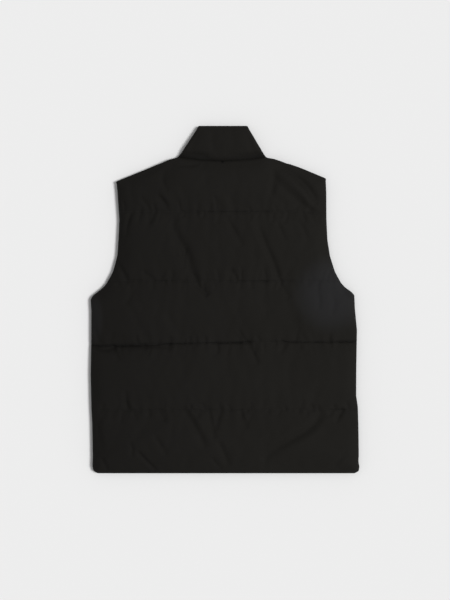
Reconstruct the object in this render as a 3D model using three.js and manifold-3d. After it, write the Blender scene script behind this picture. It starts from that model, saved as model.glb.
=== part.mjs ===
// A padded vest lying face down on a flat surface, back uppermost, with its front zip closed.
// Millimetres. +X is the wearer's right, +Y runs from hem to collar, and +Z is up from the surface.
// The origin is on the surface, under the middle of the outline.

import * as THREE from 'three';
import { mergeVertices } from 'three/addons/utils/BufferGeometryUtils.js';
import Module from 'manifold-3d';

const wasm = await Module();
wasm.setup();
const { lerp, clamp, mapLinear } = THREE.MathUtils;

// Heights along the vest.
const HEM = -364;
const NECK_POINT = 300;
const COLLAR_TOP = 364;

// Layers, from the surface up. The fronts are pressed flat underneath, and the back lies loose on them.
const FRONT_TOP = 10;
const BACK_UNDERSIDE = 10.35;
const BACK_LOFT = 14;
const EDGE_LOFT = 3.6;
const QUILT_LOFT = 2.4;
const COLLAR_LOFT = 10;

// How far in from an edge or a quilting line the padding reaches its full loft.
const EDGE_ROLL = 30;
const BACK_QUILT_ROLL = 42;
const FRONT_QUILT_ROLL = 24;

// Clear space between two pieces that are sewn edge to edge.
const SEAM_GAP = 0.5;

// The outline of the back: its two side edges at each height, from hem to neck.
const OUTLINE = [
  { height: HEM, left: -266, right: 262 },
  { height: -359, left: -275, right: 274 },
  { height: -350, left: -277.6, right: 279.4 },
  { height: -328, left: -277, right: 281.5 },
  { height: -262, left: -278, right: 280.6 },
  { height: -225, left: -279.8, right: 279.4 },
  { height: -203, left: -280.4, right: 276 },
  { height: -150, left: -281.4, right: 276.2 },
  { height: -66, left: -280, right: 277.6 },
  { height: -20, left: -280, right: 273.2 },
  { height: 2, left: -281.4, right: 272.4 },
  { height: 9, left: -277.5, right: 271.8 },
  { height: 16.5, left: -267.3, right: 265.4 },
  { height: 25, left: -256, right: 253.5 },
  { height: 34, left: -247.6, right: 245 },
  { height: 58, left: -234.6, right: 231.6 },
  { height: 92, left: -225.3, right: 220.9 },
  { height: 126, left: -223, right: 215.6 },
  { height: 168, left: -221.1, right: 213.6 },
  { height: 226, left: -225.1, right: 213.2 },
  { height: 248.5, left: -227.4, right: 212.2 },
  { height: 254.8, left: -212.3, right: 211.9 },
  { height: 260, left: -199.7, right: 200.3 },
  { height: 277, left: -157.3, right: 159.6 },
  { height: 293.7, left: -119.5, right: 111.3 },
  { height: NECK_POINT, left: -98.1, right: 86.7 },
];
const UNDERARM = 9;
const SHOULDER_TIP = 248.5;
const HALF_WIDTH = 280;

// A front's armhole is cut this much deeper than the back's.
const FRONT_SCOOP = 7;

// Quilting lines: the height of each at the left side, the middle and the right side.
const QUILT_LINES = [
  { left: -232, middle: -231, right: -230 },
  { left: -99, middle: -91, right: -87 },
  { left: 41, middle: 39.5, right: 40 },
  { left: 184.5, middle: 184.5, right: 184.5 },
];

// The longest creases of the back: soft troughs from one point to another, bowed sideways.
const CREASES = [
  { fromX: -111, fromY: 174, toX: -35, toY: 0, bow: -7, depth: 5, halfWidth: 10 },
  { fromX: 106, fromY: 266, toX: 162, toY: 195, bow: -4, depth: 4, halfWidth: 9 },
  { fromX: 120, fromY: 273, toX: 204, toY: 195, bow: -5, depth: 4, halfWidth: 9 },
  { fromX: -6, fromY: 174, toX: 43, toY: 119, bow: 3, depth: 3, halfWidth: 9 },
  { fromX: 85, fromY: 140, toX: 133, toY: 6, bow: -6, depth: 3, halfWidth: 10 },
  { fromX: -90, fromY: -225, toX: 7, toY: -343, bow: -6, depth: 4, halfWidth: 11 },
  { fromX: 246, fromY: -238, toX: 85, toY: -336, bow: 6, depth: 5, halfWidth: 12 },
  { fromX: -178, fromY: -326, toX: -142, toY: -357, bow: 2, depth: 4, halfWidth: 9 },
];

// The collar lies folded flat: a back part, and two front parts under it that dip towards the zip.
const COLLAR = {
  bottomCentre: -5.7,
  bottomHalf: 92.4,
  topCentre: -3.6,
  topHalf: 52,
  frontDropBottom: 84,
  frontDropTop: 72,
  backDrop: 7,
  roll: 26,
  foldGap: 0.6,
};
const COLLAR_STATIONS = [0, 0.06, 0.16, 0.32, 0.5, 0.68, 0.84, 0.94, 1];
const FRONT_STEPS = 10;
const FRONT_SPACING = 0.65;
const BACK_STEPS = 16;
const FOLD_STEPS = 6;
const NECK_DIP_REACH = 25;
const ZIP_END_SWELL = 0.2;

// How finely the panels are divided.
const LEAST_ROW_STEP = 3;
const EDGE_STEPS = [0, 0.12, 0.32, 0.6, 1];
const BACK_MIDDLE_STEPS = 24;
const FRONT_MIDDLE_STEPS = 8;
const BACK_QUILT_OFFSETS = [0, 4, 10, 20, 34];
const FRONT_QUILT_OFFSETS = [0, 5, 13, 24];

// The zip: two tapes, each with a bead for its row of teeth, along a line that leans slightly.
const ZIP = {
  bottom: -354,
  top: 283,
  middleX: -2,
  lean: 0.011,
  tapeHalfWidth: 7.4,
  tapeLow: 6.9,
  tapeHigh: 8.1,
  beadHalfWidth: 2.6,
  beadLow: 6.3,
  beadHigh: 8.7,
  halfGap: 0.2,
};
const ZIP_OPENING = ZIP.tapeHalfWidth + 0.3;

// The retainer that closes round the lower ends of the two beads.
const RETAINER = { length: 6.7, wall: 0.6, reach: 4 };
const HARD_GAP = 0.3;

// The slider at the top of the zip, and the bail under it that the pull tab turns in.
const SLIDER = {
  length: 12,
  width: 9,
  low: 4.9,
  high: 10,
  outerPlate: 1.1,
  innerPlate: 1,
  flange: 1.2,
  lip: 0.6,
  post: 2.4,
};
const BAIL = { length: 8.2, width: 1.6, leg: 1.2, drop: 3.4, bar: 0.8 };
const PULL = {
  axisDrop: 1.3,
  axisPastMiddle: 1.2,
  barRadius: 0.7,
  armGap: 0.5,
  armWidth: 1,
  armReach: 9,
  length: 30,
  width: 7,
  thickness: 1.4,
  slotWidth: 2.2,
  slotStart: 14,
  slotEnd: 25.5,
};

const shellCloth = new THREE.MeshStandardMaterial({ color: '#1f1e1c', roughness: 0.8, metalness: 0 });
const tapeCloth = new THREE.MeshStandardMaterial({ color: '#191918', roughness: 0.85, metalness: 0 });
const darkMetal = new THREE.MeshStandardMaterial({ color: '#242426', roughness: 0.4, metalness: 0.8 });

// Rise from 0 at an edge to 1 at the given reach, along a quarter of an ellipse.
function loftRise(distance, reach) {
  const short = 1 - clamp(distance / reach, 0, 1);
  return Math.sqrt(1 - short * short);
}

// A value read from a table of rows by linear interpolation.
function readTable(table, key, value, at) {
  const found = table.findIndex((row) => row[key] >= at);
  const upper = found < 0 ? table.length - 1 : Math.max(found, 1);
  const low = table[upper - 1];
  const high = table[upper];
  return mapLinear(at, low[key], high[key], low[value], high[value]);
}

// The wearer's left is side -1, and the right is side 1.
function sideEdge(side, height) {
  return readTable(OUTLINE, 'height', side < 0 ? 'left' : 'right', height);
}

function frontSideEdge(side, height) {
  const alongArmhole = clamp((height - UNDERARM) / (SHOULDER_TIP - UNDERARM), 0, 1);
  return sideEdge(side, height) - side * FRONT_SCOOP * Math.sin(Math.PI * alongArmhole);
}

function zipCentre(height) {
  return ZIP.middleX - ZIP.lean * height;
}

function quiltShift(line, x) {
  const across = x / HALF_WIDTH;
  const tilt = (line.right - line.left) / 2;
  const bow = (line.right + line.left) / 2 - line.middle;
  return tilt * across + bow * across * across;
}

// Rows of points follow the quilting lines, and fade to straight at the hem and the neck.
function rowShift(x, height) {
  const anchors = [
    { height: HEM, shift: 0 },
    ...QUILT_LINES.map((line) => ({ height: line.middle, shift: quiltShift(line, x) })),
    { height: NECK_POINT, shift: 0 },
  ];
  return readTable(anchors, 'height', 'shift', height);
}

function creaseDepth(x, y) {
  let depth = 0;
  for (const crease of CREASES) {
    const along = new THREE.Vector2(crease.toX - crease.fromX, crease.toY - crease.fromY);
    const length = along.length();
    along.normalize();
    const offset = new THREE.Vector2(x - crease.fromX, y - crease.fromY);
    const travel = clamp(offset.dot(along) / length, 0, 1);
    const arch = 4 * travel * (1 - travel);
    const centre = along.clone().multiplyScalar(travel * length);
    centre.x -= along.y * crease.bow * arch;
    centre.y += along.x * crease.bow * arch;
    const away = offset.distanceTo(centre) / crease.halfWidth;
    depth = Math.max(depth, crease.depth * Math.exp(-away * away) * Math.sqrt(arch));
  }
  return depth;
}

// Heights of the rows of points, the ones asked for first kept, none closer together than the least step.
function rowHeights(...wanted) {
  const kept = [];
  for (const height of wanted.flat()) {
    if (kept.every((other) => Math.abs(other - height) >= LEAST_ROW_STEP)) kept.push(height);
  }
  return kept.sort((a, b) => a - b);
}

function heightsByQuilting(offsets) {
  const besideLine = (line) => offsets.flatMap((offset) => [line.middle - offset, line.middle + offset]);
  return QUILT_LINES.flatMap(besideLine);
}

// Places across a row: close together near both edges, even between them.
function columnsAcross(left, right, middleSteps) {
  const band = Math.min(EDGE_ROLL, (right - left) / 4);
  const middle = [];
  for (let k = 1; k < middleSteps; k += 1) middle.push(lerp(left + band, right - band, k / middleSteps));
  const fromLeft = EDGE_STEPS.map((step) => left + step * band);
  const fromRight = EDGE_STEPS.map((step) => right - step * band).reverse();
  return [...fromLeft, ...middle, ...fromRight];
}

function distanceToLoop(x, y, loop) {
  const point = new THREE.Vector3(x, y, 0);
  const nearest = new THREE.Vector3();
  const line = new THREE.Line3();
  let distance = Infinity;
  loop.forEach((corner, k) => {
    line.set(corner, loop[(k + 1) % loop.length]);
    line.closestPointToPoint(point, true, nearest);
    distance = Math.min(distance, nearest.distanceTo(point));
  });
  return distance;
}

function loopOf(rows) {
  const last = rows.length - 1;
  const sides = rows.slice(1, last);
  return [
    ...rows[0],
    ...sides.map((row) => row[row.length - 1]),
    ...[...rows[last]].reverse(),
    ...sides.map((row) => row[0]).reverse(),
  ];
}

// Triangles between two rows of vertex numbers that may differ in length.
function stitchRows(lower, upper) {
  const triangles = [];
  let i = 0;
  let j = 0;
  while (i < lower.length - 1 || j < upper.length - 1) {
    const lowerNext = (i + 1) / (lower.length - 1);
    const upperNext = (j + 1) / (upper.length - 1);
    const advanceLower = j === upper.length - 1 || (i < lower.length - 1 && lowerNext <= upperNext);
    if (advanceLower) {
      triangles.push(lower[i], lower[i + 1], upper[j]);
      i += 1;
    } else {
      triangles.push(lower[i], upper[j + 1], upper[j]);
      j += 1;
    }
  }
  return triangles;
}

// A closed wall between an outer face and a plain inner face, both given as rows of points.
// A row of the inner face may hold its two end points only, unless it is the first or the last.
function closedWall(outerRows, innerRows) {
  const positions = [];
  const store = (point) => positions.push(...point.toArray()) / 3 - 1;
  const number = (rows) => rows.map((row) => row.map(store));
  const outer = number(outerRows);
  const inner = number(innerRows);
  const triangles = [];
  const last = outer.length - 1;
  for (let i = 0; i < last; i += 1) {
    triangles.push(...stitchRows(outer[i], outer[i + 1]));
    triangles.push(...stitchRows(inner[i], inner[i + 1]).reverse());
  }
  triangles.push(...stitchRows(inner[0], outer[0]));
  triangles.push(...stitchRows(outer[last], inner[last]));
  const firstOf = (rows) => rows.map((row) => row[0]);
  const lastOf = (rows) => rows.map((row) => row[row.length - 1]);
  triangles.push(...stitchRows(firstOf(outer), firstOf(inner)));
  triangles.push(...stitchRows(lastOf(inner), lastOf(outer)));
  const geometry = new THREE.BufferGeometry();
  geometry.setAttribute('position', new THREE.Float32BufferAttribute(positions, 3));
  geometry.setIndex(triangles);
  geometry.computeVertexNormals();
  return geometry;
}

// A padded panel: a flat inner face at the given level, and an outer face that swells between the
// edges and the quilting lines. Outward is 1 for a panel that swells up, and -1 for one that swells down.
function quiltedPanel({ plan, heights, level, outward, loft, quiltRoll, creased, fullFrom }) {
  const loop = loopOf(plan);
  const outerRows = plan.map((row, i) => row.map((point) => {
    const edge = loftRise(distanceToLoop(point.x, point.y, loop), EDGE_ROLL);
    const fromQuilting = Math.min(...QUILT_LINES.map((line) => Math.abs(heights[i] - line.middle)));
    const swell = lerp(EDGE_LOFT, loft, edge) - QUILT_LOFT;
    const crease = creased ? creaseDepth(point.x, point.y) / loft : 0;
    const depth = QUILT_LOFT + swell * loftRise(fromQuilting, quiltRoll) * (1 - crease);
    return new THREE.Vector3(point.x, point.y, level + outward * depth);
  }));
  const innerRows = plan.map((row, i) => {
    const whole = i === 0 || i === plan.length - 1 || heights[i] > fullFrom;
    const kept = whole ? row : [row[0], row[row.length - 1]];
    return kept.map((point) => new THREE.Vector3(point.x, point.y, level));
  });
  return closedWall(outerRows, innerRows);
}

// The collar at a station from 0 at the neck seam to 1 at its top edge.
function collarAt(station) {
  const height = COLLAR_TOP - NECK_POINT;
  const fromEdge = Math.min(station, 1 - station) * height;
  const loft = lerp(EDGE_LOFT, COLLAR_LOFT, loftRise(fromEdge, COLLAR.roll));
  const half = lerp(COLLAR.bottomHalf, COLLAR.topHalf, station);
  return {
    loft,
    foldHeight: lerp(NECK_POINT, COLLAR_TOP, station),
    centre: lerp(COLLAR.bottomCentre, COLLAR.topCentre, station),
    reach: half - loft - COLLAR.foldGap / 2,
    frontDrop: lerp(COLLAR.frontDropBottom, COLLAR.frontDropTop, station),
    backDrop: lerp(COLLAR.backDrop, 0, station),
  };
}

function neckCurve(x, { foldHeight, centre, reach }, drop) {
  const across = clamp((x - centre) / reach, -1, 1);
  return foldHeight - drop * (1 - across * across);
}

// Points of a collar front from the zip out to the fold.
function collarFrontPoints(side, station) {
  const section = collarAt(station);
  const zipEdge = zipCentre(section.foldHeight - section.frontDrop) + side * ZIP_OPENING;
  const points = [];
  for (let k = 0; k <= FRONT_STEPS; k += 1) {
    const x = lerp(zipEdge, section.centre + side * section.reach, (k / FRONT_STEPS) ** FRONT_SPACING);
    const fromZip = loftRise(Math.abs(x - zipEdge), EDGE_ROLL);
    points.push({
      x,
      y: neckCurve(x, section, section.frontDrop),
      loft: lerp(EDGE_LOFT, section.loft, Math.max(fromZip, ZIP_END_SWELL)),
    });
  }
  return points;
}

// One row of the collar, as points of its outer and inner face, round both folds.
function collarRow(station) {
  const section = collarAt(station);
  const middleLevel = FRONT_TOP + COLLAR.foldGap / 2;
  const halfGap = COLLAR.foldGap / 2;
  const outer = [];
  const inner = [];
  const lay = (x, y, loft, turn, side) => {
    const outerRadius = halfGap + loft;
    const swing = side * Math.cos(turn);
    outer.push(new THREE.Vector3(x + swing * outerRadius, y, middleLevel + outerRadius * Math.sin(turn)));
    inner.push(new THREE.Vector3(x + swing * halfGap, y, middleLevel + halfGap * Math.sin(turn)));
  };
  const under = -Math.PI / 2;
  const fold = (side, direction) => {
    for (let k = 1; k < FOLD_STEPS; k += 1) {
      const turn = direction * (under + Math.PI * k / FOLD_STEPS);
      lay(section.centre + side * section.reach, section.foldHeight, section.loft, turn, side);
    }
  };
  collarFrontPoints(-1, station).forEach((point) => lay(point.x, point.y, point.loft, under, 0));
  fold(-1, 1);
  for (let k = 0; k <= BACK_STEPS; k += 1) {
    const x = section.centre + section.reach * (2 * k / BACK_STEPS - 1);
    lay(x, neckCurve(x, section, section.backDrop), section.loft, -under, 0);
  }
  fold(1, -1);
  collarFrontPoints(1, station).reverse().forEach((point) => lay(point.x, point.y, point.loft, under, 0));
  return { outer, inner };
}

function collarGeometry() {
  const rows = COLLAR_STATIONS.map(collarRow);
  return closedWall(rows.map((row) => row.outer), rows.map((row) => row.inner));
}

function backGeometry() {
  const seam = collarAt(0);
  const top = NECK_POINT - SEAM_GAP;
  const outlineHeights = OUTLINE.map((row) => row.height);
  const heights = rowHeights(HEM, top, heightsByQuilting(BACK_QUILT_OFFSETS), outlineHeights);
  const plan = heights.map((height) => {
    const dipShare = clamp((height - top + NECK_DIP_REACH) / NECK_DIP_REACH, 0, 1);
    return columnsAcross(sideEdge(-1, height), sideEdge(1, height), BACK_MIDDLE_STEPS).map((x) => {
      const dip = dipShare * (seam.foldHeight - neckCurve(x, seam, seam.backDrop));
      return new THREE.Vector3(x, height + rowShift(x, height) - dip, 0);
    });
  });
  return quiltedPanel({
    plan,
    heights,
    level: BACK_UNDERSIDE,
    outward: 1,
    loft: BACK_LOFT,
    quiltRoll: BACK_QUILT_ROLL,
    creased: true,
    fullFrom: top - NECK_DIP_REACH,
  });
}

function frontGeometry(side) {
  const neck = collarFrontPoints(side, 0).map(({ x, y }) => ({ x, y: y - SEAM_GAP }));
  const top = NECK_POINT - SEAM_GAP;
  const outlineHeights = OUTLINE.map((row) => row.height).filter((height) => height < top);
  const nearQuilting = heightsByQuilting(FRONT_QUILT_OFFSETS);
  const heights = rowHeights(HEM, top, neck.map(({ y }) => y), nearQuilting, outlineHeights);
  const innerEdge = (height) => {
    if (height <= neck[0].y) return zipCentre(height) + side * ZIP_OPENING;
    return readTable(neck, 'y', 'x', height);
  };
  const plan = heights.map((height) => {
    const edges = [frontSideEdge(side, height), innerEdge(height)].sort((a, b) => a - b);
    const columns = columnsAcross(edges[0], edges[1], FRONT_MIDDLE_STEPS).reverse();
    return columns.map((x) => new THREE.Vector3(x, height + rowShift(x, height), 0));
  });
  return quiltedPanel({
    plan,
    heights,
    level: FRONT_TOP,
    outward: -1,
    loft: FRONT_TOP,
    quiltRoll: FRONT_QUILT_ROLL,
    creased: false,
    fullFrom: Infinity,
  });
}

// A box given by its limits along each axis.
function boxBetween(x, y, z) {
  const box = new THREE.BoxGeometry(x[1] - x[0], y[1] - y[0], z[1] - z[0]);
  return box.translate((x[0] + x[1]) / 2, (y[0] + y[1]) / 2, (z[0] + z[1]) / 2);
}

function solidOf(geometry) {
  const bare = geometry.clone();
  bare.deleteAttribute('normal');
  bare.deleteAttribute('uv');
  const merged = mergeVertices(bare, 1e-4);
  const vertProperties = Float32Array.from(merged.attributes.position.array);
  const triVerts = Uint32Array.from(merged.index.array);
  return new wasm.Manifold(new wasm.Mesh({ numProp: 3, vertProperties, triVerts }));
}

function joined(geometries) {
  const solid = geometries.map(solidOf).reduce((whole, piece) => whole.add(piece));
  const mesh = solid.getMesh();
  const geometry = new THREE.BufferGeometry();
  geometry.setAttribute('position', new THREE.BufferAttribute(mesh.vertProperties, 3));
  geometry.setIndex(new THREE.BufferAttribute(mesh.triVerts, 1));
  geometry.computeVertexNormals();
  return geometry;
}

// One tape with its bead, as a section in X and Z carried down the length of the zip.
function tapeGeometry(side) {
  const section = new THREE.Shape([
    new THREE.Vector2(side * ZIP.tapeHalfWidth, ZIP.tapeLow),
    new THREE.Vector2(side * ZIP.beadHalfWidth, ZIP.tapeLow),
    new THREE.Vector2(side * ZIP.beadHalfWidth, ZIP.beadLow),
    new THREE.Vector2(side * ZIP.halfGap, ZIP.beadLow),
    new THREE.Vector2(side * ZIP.halfGap, ZIP.beadHigh),
    new THREE.Vector2(side * ZIP.beadHalfWidth, ZIP.beadHigh),
    new THREE.Vector2(side * ZIP.beadHalfWidth, ZIP.tapeHigh),
    new THREE.Vector2(side * ZIP.tapeHalfWidth, ZIP.tapeHigh),
  ]);
  const tape = new THREE.ExtrudeGeometry(section, { depth: ZIP.top - ZIP.bottom, bevelEnabled: false });
  return tape.rotateX(Math.PI / 2);
}

function retainerGeometry() {
  const depth = [ZIP.beadLow - RETAINER.wall, ZIP.beadHigh + RETAINER.wall];
  return boxBetween([-RETAINER.reach, RETAINER.reach], [-HARD_GAP - RETAINER.length, -HARD_GAP], depth);
}

// The slider's own Y is 0 at its lower end. Its post stands past the ends of the two beads.
function sliderGeometry() {
  const half = SLIDER.width / 2;
  const along = [0, SLIDER.length];
  const outerPlateTop = SLIDER.low + SLIDER.outerPlate;
  const innerPlateLow = SLIDER.high - SLIDER.innerPlate;
  const postHalf = SLIDER.post / 2;
  const postAlong = [SLIDER.length - SLIDER.post, SLIDER.length];
  const pieces = [
    boxBetween([-half, half], along, [SLIDER.low, outerPlateTop]),
    boxBetween([-half, half], along, [innerPlateLow, SLIDER.high]),
    boxBetween([-postHalf, postHalf], postAlong, [SLIDER.low, SLIDER.high]),
  ];
  for (const side of [-1, 1]) {
    const flange = [side * half, side * (half - SLIDER.flange)].sort((a, b) => a - b);
    pieces.push(boxBetween(flange, along, [SLIDER.low, outerPlateTop + SLIDER.lip]));
    pieces.push(boxBetween(flange, along, [innerPlateLow - SLIDER.lip, SLIDER.high]));
  }
  const bailStart = (SLIDER.length - BAIL.length) / 2;
  const bailEnd = bailStart + BAIL.length;
  const bailLow = SLIDER.low - BAIL.drop;
  const across = [-BAIL.width / 2, BAIL.width / 2];
  pieces.push(boxBetween(across, [bailStart, bailStart + BAIL.leg], [bailLow, outerPlateTop]));
  pieces.push(boxBetween(across, [bailEnd - BAIL.leg, bailEnd], [bailLow, outerPlateTop]));
  pieces.push(boxBetween(across, [bailStart, bailEnd], [bailLow, bailLow + BAIL.bar]));
  return joined(pieces);
}

// The pull tab about its own axis: a bar through the bail, two arms beside it, and the tab towards -Y.
function pullGeometry() {
  const armInner = BAIL.width / 2 + PULL.armGap;
  const armOuter = armInner + PULL.armWidth;
  const half = PULL.thickness / 2;
  const bar = new THREE.CylinderGeometry(PULL.barRadius, PULL.barRadius, 2 * armOuter, 12);
  bar.rotateZ(Math.PI / 2);
  const outline = new THREE.Shape();
  const round = PULL.width / 2;
  const tabStart = PULL.armWidth - PULL.armReach;
  outline.moveTo(-round, tabStart);
  outline.lineTo(-round, -PULL.length + round);
  outline.absarc(0, -PULL.length + round, round, Math.PI, 2 * Math.PI, false);
  outline.lineTo(round, tabStart);
  const slot = new THREE.Path();
  const slotHalf = PULL.slotWidth / 2;
  slot.absarc(0, -PULL.slotEnd, slotHalf, Math.PI, 2 * Math.PI, false);
  slot.absarc(0, -PULL.slotStart, slotHalf, 0, Math.PI, false);
  outline.holes.push(slot);
  const settings = { depth: PULL.thickness, bevelEnabled: false, curveSegments: 6 };
  const tab = new THREE.ExtrudeGeometry(outline, settings);
  const pieces = [bar, tab.translate(0, 0, -half)];
  for (const side of [-1, 1]) {
    const across = [side * armInner, side * armOuter].sort((a, b) => a - b);
    pieces.push(boxBetween(across, [-PULL.armReach, 0], [-half, half]));
  }
  return joined(pieces);
}

const vest = new THREE.Group();

function add(name, geometry, material, place = [0, 0, 0]) {
  const mesh = new THREE.Mesh(geometry, material);
  mesh.name = name;
  mesh.position.set(...place);
  vest.add(mesh);
  return mesh;
}

add('back', backGeometry(), shellCloth);
add('front_left', frontGeometry(-1), shellCloth);
add('front_right', frontGeometry(1), shellCloth);
add('collar', collarGeometry(), shellCloth);

for (const [name, side] of [['zip_tape_left', -1], ['zip_tape_right', 1]]) {
  const tape = add(name, tapeGeometry(side), tapeCloth, [zipCentre(ZIP.top), ZIP.top, 0]);
  tape.rotation.z = Math.atan(ZIP.lean);
}
add('zip_box', retainerGeometry(), darkMetal, [zipCentre(ZIP.bottom), ZIP.bottom, 0]);

const sliderStart = ZIP.top + HARD_GAP + SLIDER.post - SLIDER.length;
const sliderCentre = zipCentre(sliderStart + SLIDER.length / 2);
add('zip_slider', sliderGeometry(), darkMetal, [sliderCentre, sliderStart, 0]);

const pullAxisY = sliderStart + SLIDER.length / 2 + PULL.axisPastMiddle;
add('zip_pull', pullGeometry(), darkMetal, [sliderCentre, pullAxisY, SLIDER.low - PULL.axisDrop]);

export default vest;
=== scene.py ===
# %% [markdown]
# # A padded vest, laid flat
#
# The vest lies face down with its back uppermost, photographed from straight above. Its shell is a matt
# black cloth over light padding, quilted across into channels. Blender dresses the solids of the packed
# model: every padded piece is a fine surface worked out on a grid, swollen by a short cloth simulation, and
# then creased.
#
# The frame comes first. Its solids say where each piece is, so all measures below are read from it, in
# metres.

# %% Load the frame
import math

import bmesh
import bpy
import numpy as np
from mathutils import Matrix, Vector
from mathutils.bvhtree import BVHTree


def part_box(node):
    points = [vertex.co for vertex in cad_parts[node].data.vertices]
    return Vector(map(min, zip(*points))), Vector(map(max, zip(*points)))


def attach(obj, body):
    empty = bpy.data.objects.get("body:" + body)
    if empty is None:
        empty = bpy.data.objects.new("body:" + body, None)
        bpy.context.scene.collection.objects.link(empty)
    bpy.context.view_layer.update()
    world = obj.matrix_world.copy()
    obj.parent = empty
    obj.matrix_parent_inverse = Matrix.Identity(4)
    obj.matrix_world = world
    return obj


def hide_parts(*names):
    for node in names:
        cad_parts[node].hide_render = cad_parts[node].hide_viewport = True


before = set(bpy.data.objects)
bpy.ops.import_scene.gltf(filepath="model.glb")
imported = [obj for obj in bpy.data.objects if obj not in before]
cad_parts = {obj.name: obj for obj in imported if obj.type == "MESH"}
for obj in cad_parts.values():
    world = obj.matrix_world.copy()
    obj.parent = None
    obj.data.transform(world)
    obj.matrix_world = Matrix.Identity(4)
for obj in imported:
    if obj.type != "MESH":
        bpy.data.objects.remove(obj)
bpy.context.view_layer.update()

MM = 0.001

# %% [markdown]
# ## Camera, light and floor
#
# The photograph looks straight down. The real camera stood far enough away to show no perspective, so a
# long lens about three metres up does the same. The frame is 600 pixels high and each is 2.1 mm on the
# cloth.

# %% Camera
PIXEL = 2.1 * MM
FRAME_HEIGHT = 600 * PIXEL
LENS = 85.0
SENSOR = 36.0
CLOTH_LEVEL = 10 * MM

camera_data = bpy.data.cameras.new("camera")
camera_data.lens = LENS
camera_data.sensor_width = SENSOR
camera = bpy.data.objects.new("camera", camera_data)
camera.location = (0.6 * MM, -0.3 * MM, CLOTH_LEVEL + FRAME_HEIGHT * LENS / SENSOR)
bpy.context.scene.collection.objects.link(camera)
bpy.context.scene.camera = camera
print("camera height", round(camera.location.z, 3))

# %% [markdown]
# A single narrow shadow lies along the left armhole and the left side, and none along the right side, the
# hem or the shoulders. So one fairly small light stands to the right, level with the vest's middle, and
# soft light from all round fills the rest. The floor is matt and pale, and the strengths are set so that it
# comes out the photograph's grey.

# %% Lights and floor
FLOOR_GREY = 0.79
KEY_STRENGTH = 2.38
KEY_ELEVATION = math.radians(60)
KEY_SOFTNESS = math.radians(18)
FILL = 0.42

key_data = bpy.data.lights.new("key_light", "SUN")
key_data.energy = KEY_STRENGTH
key_data.angle = KEY_SOFTNESS
key_light = bpy.data.objects.new("key_light", key_data)
key_light.rotation_euler = (0, math.pi / 2 - KEY_ELEVATION, 0)
bpy.context.scene.collection.objects.link(key_light)

world = bpy.data.worlds.new("studio")
world.use_nodes = True
world.node_tree.nodes["Background"].inputs["Color"].default_value = (1, 1, 1, 1)
world.node_tree.nodes["Background"].inputs["Strength"].default_value = FILL
bpy.context.scene.world = world
bpy.context.scene.view_settings.view_transform = "Standard"

# %% [markdown]
# ## Shader maths as expressions
#
# A material's patterns are sums and products of a few noises. Written as nodes and links they can't be
# read, so a small class wraps an output socket and lets Python's own operators add the Math nodes.

# %% Shader sockets
def both_ways(operation):
    """An operator's two methods: the plain one, and the reflected one for a number that stands first."""
    return (lambda self, other: self.maths(operation, self, other),
            lambda self, other: self.maths(operation, other, self))


class Shade:
    """An output socket of a material, with operators: each one adds a Math node and returns its result."""

    def __init__(self, recipe, socket):
        self.recipe = recipe
        self.socket = socket

    def maths(self, operation, *values):
        return self.recipe.add("ShaderNodeMath", {"operation": operation}, dict(enumerate(values)))

    __add__, __radd__ = both_ways("ADD")
    __sub__, __rsub__ = both_ways("SUBTRACT")
    __mul__, __rmul__ = both_ways("MULTIPLY")
    __truediv__, __rtruediv__ = both_ways("DIVIDE")

    def sine(self):
        return self.maths("SINE", self)

    def size(self):
        return self.maths("ABSOLUTE", self)


class Recipe:
    """A material with one Principled shader, and the nodes that feed it."""

    def __init__(self, name, **constants):
        self.material = bpy.data.materials.new(name)
        self.material.use_nodes = True
        self.tree = self.material.node_tree
        self.shader = self.tree.nodes["Principled BSDF"]
        for socket, value in constants.items():
            self.shader.inputs[socket.replace("_", " ")].default_value = value

    def add(self, kind, settings=None, inputs=None, output=0):
        """Adds one node: its settings first, then its inputs, each a number, a colour or another node's
        Shade."""
        node = self.tree.nodes.new(kind)
        for setting, value in (settings or {}).items():
            setattr(node, setting, value)
        for place, value in (inputs or {}).items():
            self.feed(node.inputs[place], value)
        return Shade(self, node.outputs[output])

    def feed(self, place, value):
        if isinstance(value, Shade):
            self.tree.links.new(value.socket, place)
        else:
            place.default_value = value

    def finish(self, **fed):
        for socket, value in fed.items():
            self.feed(self.shader.inputs[socket.replace("_", " ")], value)
        return self.material

    def place(self):
        """The point on the piece, in metres, in the frame."""
        return self.add("ShaderNodeTexCoord", output="Object")

    def noise(self, scale, detail=2.0, stretch=(1, 1, 1)):
        spot = self.add("ShaderNodeMapping", {}, {"Vector": self.place(), "Scale": stretch})
        return self.add("ShaderNodeTexNoise", {}, {"Vector": spot, "Scale": scale, "Detail": detail})

    def axes(self):
        split = self.add("ShaderNodeSeparateXYZ", {}, {"Vector": self.place()}).socket.node
        return [Shade(self, split.outputs[axis]) for axis in "XYZ"]

    def bump(self, height, distance, strength=1.0, under=None):
        inputs = {"Height": height, "Distance": distance, "Strength": strength}
        if under is not None:
            inputs["Normal"] = under
        return self.add("ShaderNodeBump", {}, inputs)

    def blend(self, share, first, second):
        return self.add("ShaderNodeMix", {"data_type": "RGBA"}, {0: share, 6: first, 7: second}, output=2)


print("shader tools ready")
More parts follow.
